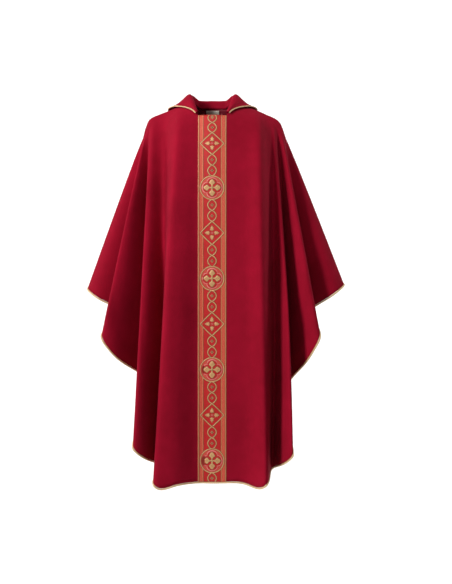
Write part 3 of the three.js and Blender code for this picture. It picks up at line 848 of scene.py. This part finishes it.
PIPING, PIPING_TWIST = 0.0058, 0.013


def hem_line(face):
    """Flat points along the whole hem of a face, from the wearer's right to the left."""
    right, left = (columns_of(face, half)[2] for half in ("right", "left"))
    return np.concatenate([right[::-1] * (-1, 1), left[1:]])


for face in SIDE:
    places, outward = cloth_at(face, hem_line(face))
    edge = places + outward * WOOL / 2
    away = unit(np.cross(np.gradient(edge, axis=0), outward) * -SIDE[face])
    line = evenly(edge + away * (PIPING / 2 + 0.0002), 0.0016)
    smooth_out = read_between(np.linspace(0, 1, len(line)), np.linspace(0, 1, len(outward)), outward)
    cord = twisted_cord(f"{face}_hem_cord", line, smooth_out, PIPING, PIPING_TWIST, face=face)
    join(cord, "gold_piping", f"{face}_hem_piping")
    print(cord.name, len(line), "rings")

# %% [markdown]
# ## Inside: facings, tapes, label and loop
# Strips of thinner cloth cover the raw edges inside the hem and the neck. They are made like the
# panels, on the flat cut, and stand off the wool's inner side.

# %% Facings
FACING, HEM_FACING, NECK_FACING = 0.0006, 0.02, 0.024
INSIDE = -GAP - FACING
for face in SIDE:
    strips = {"hem": [], "neck": []}
    for half in ("right", "left"):
        neck, bend, edge = columns_of(face, half)
        for kind, (start, aim, width) in {"hem": (edge, bend, HEM_FACING),
                                          "neck": (neck, bend, NECK_FACING)}.items():
            way = unit(aim - start)
            grid = np.stack([start + way * width * t for t in (0, 0.33, 0.67, 1)], 1)
            if half == "right":
                grid = grid[::-1] * (-1, 1)
            strips[kind].append(grid)
    for kind, (right, left) in strips.items():
        grid = np.concatenate([right, left[1:]])[2:-2]
        if kind == "hem":
            grid = grid[1:-1]
        surface = cloth_at(face, grid)
        strip = closed_sheet(f"{face}_{kind}_strip", lift(face, surface, -GAP),
                             lift(face, surface, INSIDE), grid)
        join(strip, "facing_cloth", f"{face}_{kind}_facing")
        print(strip.name, len(strip.data.polygons), "faces")

# %% Stay tapes over the shoulder seams
TAPE_HALF, INNER_CLEAR = 0.007, 0.0012
TAPE_SPAN = 0.031, 0.095  # along the seam, from the neck
for name, hand in (("left", 1), ("right", -1)):
    along = np.linspace(*TAPE_SPAN, 17)
    on_seam = NECK + along[:, None] * SEAM
    front, back = ([cloth_at(face, (on_seam + OVER * TAPE_HALF * share) * (hand, 1)) for share in shares]
                   for face, shares in (("front", (1, 0.66, 0.33, 0)), ("back", (0.33, 0.66, 1))))
    front[-1][0][:, 1], front[-1][1][:, 1] = 0, 0  # the middle row lies on the seam itself
    places, outward = (np.stack([row[part] for row in front + back], 1) for part in (0, 1))
    flat = np.stack(np.meshgrid(along, np.linspace(-TAPE_HALF, TAPE_HALF, 7), indexing="ij"), -1)
    tape = closed_sheet(f"{name}_stay", places - outward * INNER_CLEAR,
                        places - outward * (INNER_CLEAR + FACING), flat)
    join(tape, "facing_cloth", f"{name}_shoulder_tape")
print("tapes", round(float(along[-1] - along[0]), 3), "m long")

# %% A blank label
LABEL = 0.044, 0.024, 0.0005
BEHIND_LABEL = 0.0008  # clear of the neck facing
u = np.linspace(-LABEL[0] / 2, LABEL[0] / 2, 13)
v = NECK_DEEP["back"] + 0.003 + np.linspace(0, LABEL[1], 9)
flat = np.stack(np.meshgrid(u, v, indexing="ij"), -1)
surface = cloth_at("back", flat)
label = closed_sheet("label", lift("back", surface, INSIDE - BEHIND_LABEL),
                     lift("back", surface, INSIDE - BEHIND_LABEL - LABEL[2]), flat)
join(label, "ribbon", "neck_label")


def stitches(name, line, outward, slot, length=0.0026, space=0.0016, thick=0.0005):
    """A row of short raised stitches along a line."""
    far = run_of(line)
    verts, faces = [], []
    for start in np.arange(0.001, far[-1] - length, length + space):
        at = [start, start + length / 2, start + length]
        centre, up = read_between(at, far, line), read_between(at, far, outward)
        side = np.cross(unit(centre[2] - centre[0]), up[1])
        base = len(verts)
        for k, (p, n) in enumerate(zip(centre, up)):
            wide, high = thick * (0.35 if k != 1 else 0.5), thick * (0.1 if k != 1 else 0.55)
            verts += [p - side * wide - n * thick * 0.5, p - side * wide + n * high,
                      p + side * wide + n * high, p + side * wide - n * thick * 0.5]
        for k in (0, 4):
            faces += [tuple(base + i for i in (k + j, k + (j + 1) % 4, k + 4 + (j + 1) % 4, k + 4 + j))
                      for j in range(4)]
        faces += [(base, base + 1, base + 2, base + 3), (base + 11, base + 10, base + 9, base + 8)]
    return join(mesh_object(name, verts, faces, smooth=False), slot)


inset = 0.0015
side, low, high = LABEL[0] / 2 - inset, v[0] + inset, v[-1] - inset
corners = [(-side, low), (side, low), (side, high), (-side, high), (-side, low)]
frame_line = np.concatenate([np.linspace(*ends, count)
                             for *ends, count in zip(corners, corners[1:], (12, 8, 12, 8))])
places, outward = cloth_at("back", frame_line)
stitches("label_stitches", places + outward * (INSIDE - 0.0009 - LABEL[2]), -outward, "ribbon",
         length=0.0016, space=0.0008, thick=0.0004)
print("label", LABEL[:2])

# %% [markdown]
# The garment is hung up by a ribbon loop inside the neck. It is the one piece that swings as a whole,
# so it rides on its own body, and its ends turn about the line where they are sewn.

# %% The hanger loop
loop_low, loop_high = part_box("hanger_loop")
pivot = frame["joints"][0].get("pos_m", (0, 0.0442, -0.0339))
LOOP_SPAN, LOOP_DROP, RIBBON = 0.06, 0.024, (0.006, 0.001)
shape = np.array([(-0.5, 0), (-0.47, -0.45), (-0.3, -0.86), (0, -1), (0.3, -0.86), (0.47, -0.45), (0.5, 0)])
centre = np.stack([shape[:, 0] * LOOP_SPAN, np.zeros(7), shape[:, 1] * LOOP_DROP], 1)
line = evenly(centre, 0.0012)
wide = np.cross(unit(np.gradient(line, axis=0)), (0, 1, 0))
edge_rows = [-0.5, -0.42, -0.2, 0, 0.2, 0.42, 0.5]
middle_y = (loop_low.y + loop_high.y) / 2
face_grid = np.stack([line + wide * RIBBON[0] * s for s in edge_rows], 1) + (0, middle_y, float(pivot[2]))
crown = np.array([0.25, 0.5, 0.42, 0.4, 0.42, 0.5, 0.25])[None, :, None] * RIBBON[1] * np.array((0, 1, 0))
far = np.linspace(0, 0.1, len(line))
flat = np.stack(np.meshgrid(far, np.array(edge_rows) * RIBBON[0], indexing="ij"), -1)
loop = closed_sheet("ribbon_loop", face_grid + crown, face_grid - crown, flat)
join(loop, "loop_tape", "hanger_loop", body="loop")

# %% [markdown]
# ## The collar
# The collar stands up inside the neck, rolls over and lies down on the shoulders with its edge a
# little lifted. Each section round the neck is one smooth curve from the neck seam over the roll to
# the edge. Three layers follow it: the under collar, the canvas that stiffens it, the upper collar.

# %% Sections round the neck
REACH, BACK_REACH, STAND, FRONT_STAND = 0.143, 0.128, 0.026, 0.007
LAYER, EDGE_LIFT, ROLL, COLLAR_START = 0.0007, 0.005, 0.009, 0.08
AROUND, DOWN = 34, 26  # sections in each quarter, and points in each section


def ease(t):
    return t * t * (3 - 2 * t)


def neck_edge(face, rise):
    rise = np.asarray(rise, float)[..., None]
    return np.array([BAND_HALF, NECK_DEEP[face]]) * (1 - rise) + (NECK + OVER * HALF_SEAM) * rise


def collar_sections():
    """Where the collar is sewn, where its edge lies and how high it stands, on the left half."""
    t = np.linspace(0, 1, AROUND + 1)
    corner = np.array([REACH, (REACH - NECK[0]) * math.tan(SLOPE)])
    a = neck_edge("front", COLLAR_START) + (0.003, 0)
    b = neck_edge("front", 0.6) + (0.002, 0.008)
    s = t[:, None]
    front_edge = a * (1 - s) ** 2 + 2 * b * s * (1 - s) + corner * s ** 2
    front_neck = neck_edge("front", COLLAR_START + (1 - COLLAR_START) * t)
    t = t[1:]
    turn = t * math.pi / 2
    past = np.clip(2 * t - 1, 0, 1)[:, None]
    back_neck = np.where(t[:, None] < 0.5, neck_edge("back", 1 - np.minimum(2 * t, 1)),
                         np.array([BAND_HALF, NECK_DEEP["back"]]) * (1 - past * (1, 0)))
    back_edge = np.stack([REACH * np.cos(turn), corner[1] + (BACK_REACH - corner[1]) * np.sin(turn)], 1)
    stand = FRONT_STAND + (STAND - FRONT_STAND) * ease(np.linspace(0, 1, AROUND + 1))
    return [("front", front_neck, front_edge, stand), ("back", back_neck, back_edge, np.full(AROUND, STAND))]


def collar_lines(face, neck, edge, stand):
    """Guide points of each section: foot, stand, top of the roll, and down the fall."""
    seam = drape(face, neck)
    towards = unit(-seam * (1, 1, 0))
    foot = seam + towards * (WOOL + 0.0012) + (0, 0, 0.0012)
    up = np.array((0, 0, 1)) * stand[:, None]
    lift_edge = EDGE_LIFT + LAYER * 3

    def fall(share, height):
        surface = cloth_at(face, neck + (edge - neck) * share)
        height = np.broadcast_to(height, (len(neck),))[:, None]
        return surface[0] + surface[1] * (WOOL + height)

    return np.stack([foot, foot + up * 0.55, foot + up, foot + up - towards * ROLL * 0.75,
                     fall(0.3, lift_edge + stand * 0.34), fall(0.65, lift_edge + stand * 0.06),
                     fall(1.0, lift_edge)], 1)


def smooth_section(guides, count):
    """A centripetal smooth curve through a section's guide points, evenly spaced."""
    points = np.vstack([2 * guides[0] - guides[1], guides, 2 * guides[-1] - guides[-2]])
    dense = []
    for i in range(len(guides) - 1):
        p = points[i:i + 4]
        k = np.concatenate([[0], np.cumsum(np.sqrt(np.linalg.norm(np.diff(p, axis=0), axis=1)) + 1e-9)])
        for t in np.linspace(k[1], k[2], 16, endpoint=False):
            a = [p[j] * (k[j + 1] - t) / (k[j + 1] - k[j]) + p[j + 1] * (t - k[j]) / (k[j + 1] - k[j])
                 for j in range(3)]
            b = [a[j] * (k[j + 2] - t) / (k[j + 2] - k[j]) + a[j + 1] * (t - k[j]) / (k[j + 2] - k[j])
                 for j in range(2)]
            dense.append(b[0] * (k[2] - t) / (k[2] - k[1]) + b[1] * (t - k[1]) / (k[2] - k[1]))
    dense = np.array([*dense, guides[-1]])
    far = run_of(dense)
    return read_between(np.linspace(0, far[-1], count), far, dense)


half_collar = np.concatenate([collar_lines(*part) for part in collar_sections()])
half_collar = np.array([smooth_section(g, DOWN) for g in half_collar])
collar_grid = np.concatenate([half_collar, half_collar[::-1][1:] * (-1, 1, 1)])
for _ in range(2):  # evens out the small steps where the sections change face
    collar_grid[1:-1] = (collar_grid[:-2] + 2 * collar_grid[1:-1] + collar_grid[2:]) / 4
collar_out = unit(np.cross(np.gradient(collar_grid, axis=1), np.gradient(collar_grid, axis=0)))
print("collar grid", collar_grid.shape[:2], "edge lifted", EDGE_LIFT)

# %% Its three layers and piping
PITCH = LAYER + GAP
collar_flat = np.stack(np.meshgrid(np.linspace(0, 0.75, len(collar_grid)), np.linspace(0, 0.1, DOWN),
                                   indexing="ij"), -1)
# the canvas ends short of the wool at the collar's front ends, so that it doesn't show
for name, node, low, slot, short in (("collar_under", "under_collar", -PITCH, "wool", 0),
                                     ("collar_canvas", "collar_interlining", 0, "canvas", 3),
                                     ("collar_upper", "upper_collar", PITCH, "wool", 0)):
    kept = slice(short, len(collar_grid) - short)
    grid, out = collar_grid[kept], collar_out[kept]
    piece = closed_sheet(name, grid + out * (low + LAYER), grid + out * low, collar_flat[kept])
    join(piece, slot, node)

COLLAR_CORD, COLLAR_TWIST = 0.0042, 0.01
edge, outward = collar_grid[:, -1], collar_out[:, -1]
away = unit(edge - collar_grid[:, -2])
line = evenly(edge + away * (COLLAR_CORD / 2 + 0.0001) + outward * LAYER / 2, 0.0012)
cord_out = read_between(np.linspace(0, 1, len(line)), np.linspace(0, 1, len(outward)), outward)
collar_cord = twisted_cord("collar_cord", line, cord_out, COLLAR_CORD, COLLAR_TWIST)
join(collar_cord, "gold_piping", "collar_piping")
top = collar_grid + collar_out * (PITCH + LAYER)
stitches("collar_stitches", top[2:-2, -3], collar_out[2:-2, -3], "wool", thick=0.00045)
print("collar cord", len(line), "rings")

# %% Stitching along the woven band and inside the hem
for face in SIDE:
    down, places, outward = bands[face]
    for name, k in (("right", 0), ("left", -1)):
        hand = 0.0012 if k == 0 else -0.0012
        line = places[k] + outward[k] * BAND_TOP + np.array((hand, 0, 0))
        stitches(f"{face}_band_stitches_{name}", line, outward[k], "gold_piping", thick=0.0005)
    for half in ("right", "left"):
        neck, bend, edge = columns_of(face, half)
        way = unit(bend - edge)
        flat = (edge + way * (HEM_FACING - 0.002))[:-3] * ((-1 if half == "right" else 1), 1)
        places, outward = cloth_at(face, flat)
        stitches(f"{face}_hem_stitches_{half}", places + outward * INSIDE, -outward, "facing_cloth",
                 length=0.003, space=0.004)

# %% [markdown]
# ## Finishes
# Every finish here is woven thread, so three effects are shared by all: the threads themselves, an
# uneven dye over some centimetres, and a fine fluff. Each is a node group that gives out only values.

# %% Shared node groups


def node_group(name, inputs, outputs):
    group = bpy.data.node_groups.new(name, "ShaderNodeTree")
    for label, value in inputs:
        socket = group.interface.new_socket(name=label, in_out="INPUT", socket_type="NodeSocketFloat")
        socket.default_value = value
    for label in outputs:
        group.interface.new_socket(name=label, in_out="OUTPUT", socket_type="NodeSocketFloat")
    return group, group.nodes.new("NodeGroupInput"), group.nodes.new("NodeGroupOutput")


def sums(group, operation, a, b=None, c=None):
    """A maths node. Its inputs are sockets or numbers."""
    node = group.nodes.new("ShaderNodeMath")
    node.operation = operation
    for slot, value in enumerate((a, b, c)):
        if isinstance(value, (int, float)):
            node.inputs[slot].default_value = value
        elif value is not None:
            group.links.new(value, node.inputs[slot])
    return node.outputs[0]


def mixed(tree, share, low, high):
    """A colour between two. Each of them is a colour or a socket."""
    node = tree.nodes.new("ShaderNodeMix")
    node.data_type = "RGBA"
    tree.links.new(share, node.inputs["Factor"])
    for label, value in (("A", low), ("B", high)):
        if isinstance(value, tuple):
            node.inputs[label].default_value = (*value, 1)
        else:
            tree.links.new(value, node.inputs[label])
    return node.outputs["Result"]


threads, given, result = node_group(
    "threads", [("Threads per metre", 900.0), ("Slant", 1.0)], ["Height", "Crossing"])
uv = threads.nodes.new("ShaderNodeUVMap")
uv.uv_map = "cut"
split = threads.nodes.new("ShaderNodeSeparateXYZ")
threads.links.new(uv.outputs[0], split.inputs[0])
along = sums(threads, "MULTIPLY", split.outputs[0], given.outputs[0])
across = sums(threads, "MULTIPLY", split.outputs[1], given.outputs[0])
slanted = sums(threads, "MULTIPLY_ADD", across, given.outputs[1], along)
rib = sums(threads, "ABSOLUTE", sums(threads, "SINE", sums(threads, "MULTIPLY", slanted, math.pi)))
weft = sums(threads, "ABSOLUTE", sums(threads, "SINE", sums(threads, "MULTIPLY", across, math.pi)))
threads.links.new(sums(threads, "MULTIPLY_ADD", weft, 0.35, sums(threads, "MULTIPLY", rib, 0.65)),
                  result.inputs[0])
threads.links.new(sums(threads, "MULTIPLY", rib, weft), result.inputs[1])

dye, given, result = node_group("uneven_dye", [("Patch scale", 9.0), ("Contrast", 1.0)], ["Value"])
place = dye.nodes.new("ShaderNodeTexCoord")
noises = []
for scale in (1.0, 4.7):
    noise = dye.nodes.new("ShaderNodeTexNoise")
    noise.inputs["Detail"].default_value = 3
    dye.links.new(place.outputs["Object"], noise.inputs["Vector"])
    dye.links.new(sums(dye, "MULTIPLY", given.outputs[0], scale), noise.inputs["Scale"])
    noises.append(noise.outputs[0])
both = sums(dye, "MULTIPLY_ADD", noises[1], 0.35, sums(dye, "MULTIPLY", noises[0], 0.65))
centred = sums(dye, "MULTIPLY", sums(dye, "SUBTRACT", both, 0.5), given.outputs[1])
dye.links.new(sums(dye, "ADD", centred, 0.5), result.inputs[0])

fluff, given, result = node_group("fluff", [("Hairs", 2600.0)], ["Height"])
place = fluff.nodes.new("ShaderNodeTexCoord")
noise = fluff.nodes.new("ShaderNodeTexNoise")
noise.inputs["Detail"].default_value = 2
fluff.links.new(place.outputs["Object"], noise.inputs["Vector"])
fluff.links.new(given.outputs[0], noise.inputs["Scale"])
fluff.links.new(noise.outputs[0], result.inputs[0])
print("node groups:", [g.name for g in bpy.data.node_groups])

# %% [markdown]
# A woven finish mixes a light and a dark tone of its colour by the uneven dye and by the thread
# crossings, and gives its threads some height. Wool also has a soft sheen at grazing angles, because
# fine fibres stand up from it. Metal thread is smoother and partly metallic.

# %% One function for all the finishes


def woven(name, light, dark, rough, per_metre, slant=1.0, bump=0.0002, patch=9.0, contrast=1.0,
          sheen=0.0, tint=(1, 1, 1), metal=0.0, specular=0.5, weave_shade=0.35):
    """A woven material: its own Principled shader, with the shared groups feeding it."""
    material = bpy.data.materials.new(name)
    material.use_nodes = True
    tree = material.node_tree
    shader = tree.nodes["Principled BSDF"]
    groups = {}
    for key, group in (("threads", threads), ("dye", dye), ("fluff", fluff)):
        groups[key] = tree.nodes.new("ShaderNodeGroup")
        groups[key].node_tree = group
    groups["threads"].inputs[0].default_value = per_metre
    groups["threads"].inputs[1].default_value = slant
    groups["dye"].inputs[0].default_value = patch
    groups["dye"].inputs[1].default_value = contrast
    share = sums(tree, "MULTIPLY_ADD", groups["threads"].outputs[1], weave_shade,
                 sums(tree, "MULTIPLY", groups["dye"].outputs[0], 1 - weave_shade * 0.5))
    tree.links.new(mixed(tree, share, dark, light), shader.inputs["Base Color"])
    roughness = sums(tree, "MULTIPLY_ADD", groups["dye"].outputs[0], 0.12, rough - 0.06)
    tree.links.new(roughness, shader.inputs["Roughness"])
    height = sums(tree, "MULTIPLY_ADD", groups["fluff"].outputs[0], 0.3, groups["threads"].outputs[0])
    relief = tree.nodes.new("ShaderNodeBump")
    relief.inputs["Strength"].default_value = 0.55
    relief.inputs["Distance"].default_value = bump
    tree.links.new(height, relief.inputs["Height"])
    tree.links.new(relief.outputs[0], shader.inputs["Normal"])
    shader.inputs["Metallic"].default_value = metal
    shader.inputs["Specular IOR Level"].default_value = specular
    shader.inputs["Sheen Weight"].default_value = sheen
    shader.inputs["Sheen Roughness"].default_value = 0.45
    shader.inputs["Sheen Tint"].default_value = (*tint, 1)
    return material


wool = woven("burgundy_wool", (0.36, 0.005, 0.025), (0.18, 0.002, 0.010), 0.82, 620, 1.0, 0.00022,
             7.0, 1.3, sheen=0.05, tint=(1.0, 0.2, 0.3), specular=0.05, weave_shade=0.3)
wool_inside = woven("burgundy_lining_strip", (0.22, 0.006, 0.02), (0.11, 0.002, 0.009), 0.7, 900, 0.0,
                    0.00012, 9, 1.0, specular=0.25)
gold_cord = woven("pale_gold_cord", (0.86, 0.62, 0.34), (0.46, 0.27, 0.11), 0.5, 1400, 1.0, 0.0002,
                  60, 1.2, metal=0.1, specular=0.5, sheen=0.1)
gold = woven("gold_thread", (0.74, 0.43, 0.18), (0.44, 0.22, 0.08), 0.46, 1300, 0.0, 0.00022,
             90, 1.4, metal=0.15, specular=0.5)
dark_thread = woven("olive_brown_thread", (0.11, 0.06, 0.022), (0.05, 0.028, 0.012), 0.75, 1300, 0.0, 0.0002)
red_silk = woven("bright_red_silk", (0.58, 0.012, 0.012), (0.33, 0.005, 0.007), 0.55, 1100, 0.0, 0.0002,
                 40, 1.1, specular=0.35)
salmon_silk = woven("salmon_silk", (0.66, 0.085, 0.055), (0.42, 0.028, 0.02), 0.55, 1100, 0.0, 0.0002,
                    60, 1.2, specular=0.35)
pink_thread = woven("pink_thread", (0.82, 0.30, 0.26), (0.55, 0.12, 0.1), 0.55, 1300, 0.0, 0.0002)
canvas_cloth = woven("natural_canvas", (0.74, 0.68, 0.56), (0.5, 0.44, 0.33), 0.9, 700, 0.0, 0.0003)
label_satin = woven("ivory_satin", (0.83, 0.79, 0.68), (0.62, 0.57, 0.46), 0.4, 1600, 0.0, 0.0001)
loop_ribbon = woven("burgundy_ribbon", (0.36, 0.012, 0.035), (0.17, 0.004, 0.015), 0.5, 1500, 0.0, 0.0002)

# %% [markdown]
# The red band's two sides carry a small check of two tones, and its middle is plain red. One mask on
# the strip's own coordinates tells which is which.

# %% The band's ground
band_ground = woven("band_ground", (0.60, 0.012, 0.012), (0.33, 0.005, 0.007), 0.55, 1100, 0.0,
                    0.0002, 40, 1.1, specular=0.35)
tree = band_ground.node_tree
shader = tree.nodes["Principled BSDF"]
plain_red = next(n for n in tree.nodes if n.type == "MIX").outputs["Result"]
uv = tree.nodes.new("ShaderNodeUVMap")
uv.uv_map = "cut"
split = tree.nodes.new("ShaderNodeSeparateXYZ")
tree.links.new(uv.outputs[0], split.inputs[0])
from_middle = sums(tree, "ABSOLUTE", split.outputs[0])
side_mask = sums(tree, "GREATER_THAN", from_middle, INNER_LINE)
CHECK = 620.0  # squares per metre
check_u = sums(tree, "SINE", sums(tree, "MULTIPLY", split.outputs[0], CHECK * math.pi))
check_v = sums(tree, "SINE", sums(tree, "MULTIPLY", split.outputs[1], CHECK * math.pi))
check = sums(tree, "GREATER_THAN", sums(tree, "MULTIPLY", check_u, check_v), 0.0)
checked_sides = mixed(tree, check, (0.46, 0.03, 0.02), (0.72, 0.14, 0.07))
tree.links.new(mixed(tree, side_mask, plain_red, checked_sides), shader.inputs["Base Color"])
print("materials:", len(bpy.data.materials))

# %% The studio's own finish
sheet_white = bpy.data.materials.new("studio_white")
sheet_white.use_nodes = True
tree = sheet_white.node_tree
shader = tree.nodes["Principled BSDF"]
shader.inputs["Roughness"].default_value = 0.9
paper = tree.nodes.new("ShaderNodeTexNoise")
paper.inputs["Scale"].default_value = 3
whites = mixed(tree, paper.outputs[0], (0.93, 0.93, 0.93), (0.97, 0.97, 0.965))
tree.links.new(whites, shader.inputs["Base Color"])
backdrop.data.materials.append(sheet_white)

# %% Dress every piece
FINISH = {
    "wool": wool, "facing_cloth": wool_inside, "gold_piping": gold_cord, "canvas": canvas_cloth,
    "ribbon": label_satin, "loop_tape": loop_ribbon, "orphrey_weave": band_ground,
}
THREAD = {"gold": gold, "dark": dark_thread, "red": red_silk, "pink": pink_thread, "salmon": salmon_silk}
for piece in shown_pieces():
    if "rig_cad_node" not in piece:
        piece.data.materials.clear()
    if "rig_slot" in piece:
        piece.data.materials.append(FINISH[piece["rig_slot"]])
for (face, name), piece in band_pieces.items():
    piece.data.materials[0] = THREAD[name]

# %% [markdown]
# ## The finished box
# The box round every shown piece, folds and all, is printed here. The CAD box was printed at the
# start. The hem's cord and strip cross both halves of a face.

# %% The visual box
low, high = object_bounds()
print("visual box:", [round(x, 3) for x in low], [round(x, 3) for x in high])
